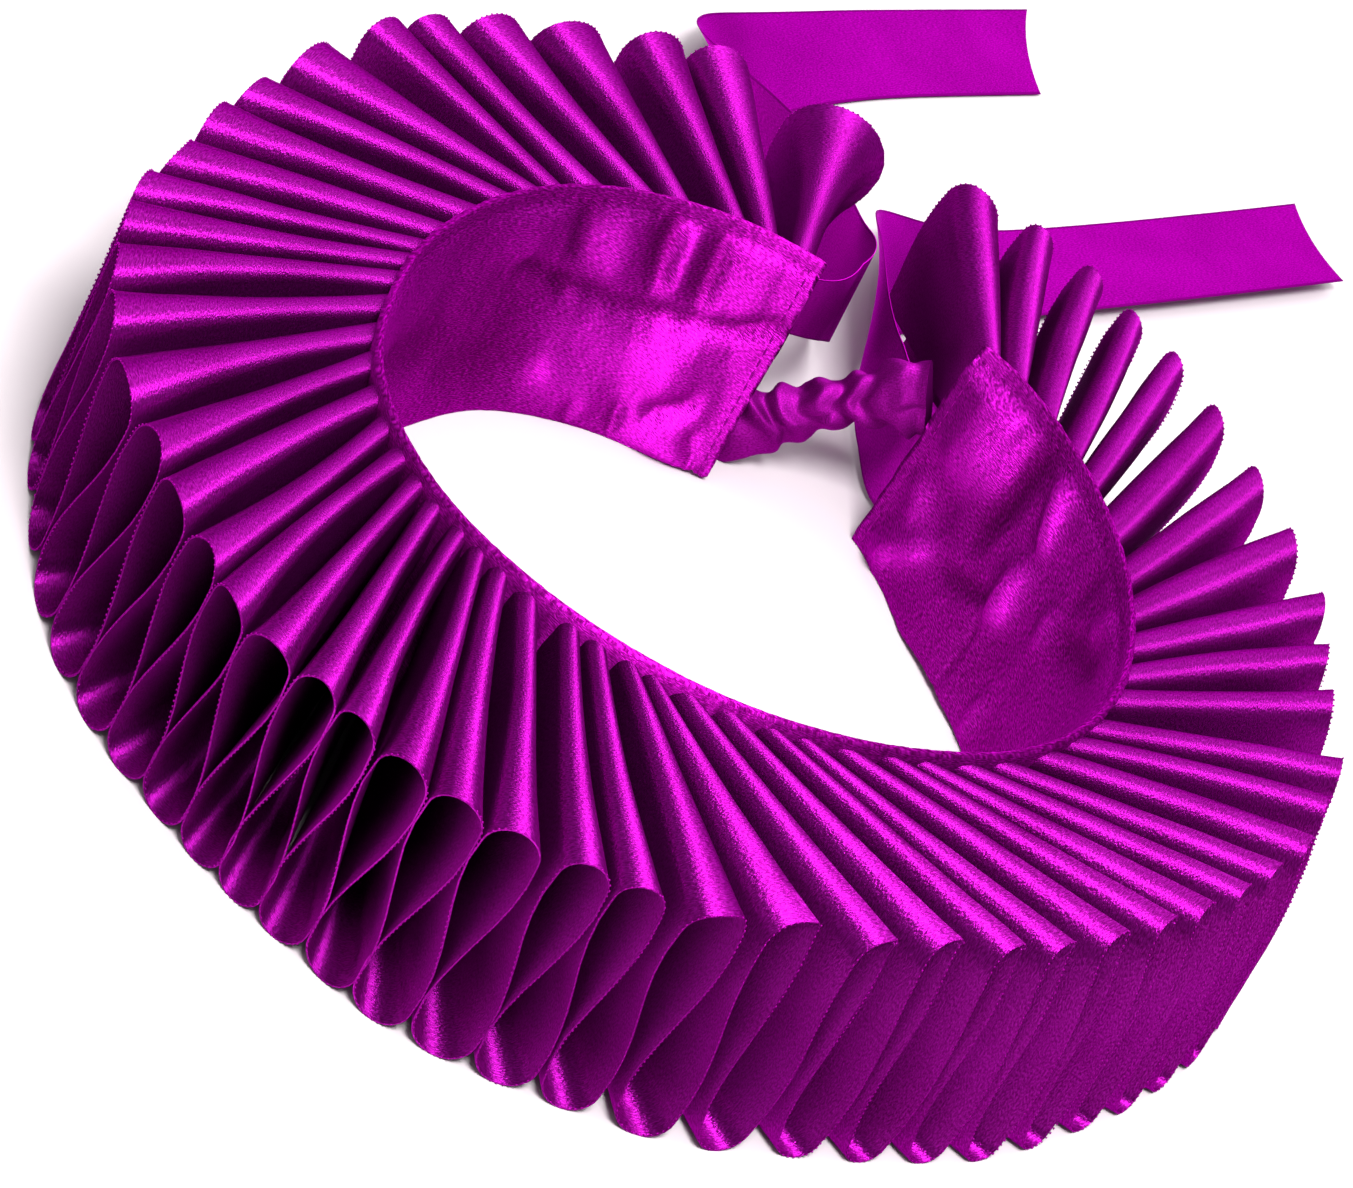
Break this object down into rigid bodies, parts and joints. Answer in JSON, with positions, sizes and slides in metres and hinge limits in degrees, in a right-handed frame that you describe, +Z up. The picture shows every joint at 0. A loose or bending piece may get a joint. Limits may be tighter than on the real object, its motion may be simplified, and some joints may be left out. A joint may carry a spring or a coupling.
{
  "type": "ruff collar",
  "caption": "Ruff collar of satin ribbon: an upright neckband with a deep ruffle of figure-eight pleats, a gathered elastic back and ribbon ties.",
  "frame": {"origin": "middle of the neck opening, on the surface that the collar lies on", "axes": "+Z up out of the neck opening; +Y towards the open back, where the elastic and the ties are; +X completes a right-handed frame, to the right when looking towards the back"},
  "size_m": [0.219, 0.3549, 0.0462],
  "materials": {
    "band_satin": "magenta-purple polyester satin with a fine woven grain and soft creases",
    "ruffle_satin": "magenta-purple double-faced satin ribbon, bright streak along each fold, picot selvedges",
    "casing_satin": "magenta-purple satin gathered tightly over elastic",
    "tie_satin": "smooth magenta-purple satin ribbon"
  },
  "bodies": {
    "root": {"neckband": "band_satin", "ruffle_01": "ruffle_satin", "ruffle_02": "ruffle_satin", "ruffle_03": "ruffle_satin", "ruffle_04": "ruffle_satin", "ruffle_05": "ruffle_satin", "ruffle_06": "ruffle_satin", "ruffle_07": "ruffle_satin", "ruffle_08": "ruffle_satin", "ruffle_09": "ruffle_satin", "ruffle_10": "ruffle_satin", "ruffle_11": "ruffle_satin", "ruffle_12": "ruffle_satin", "ruffle_13": "ruffle_satin", "elastic_casing": "casing_satin", "tie_left": "tie_satin", "tie_right": "tie_satin"}
  },
  "joints": []
}
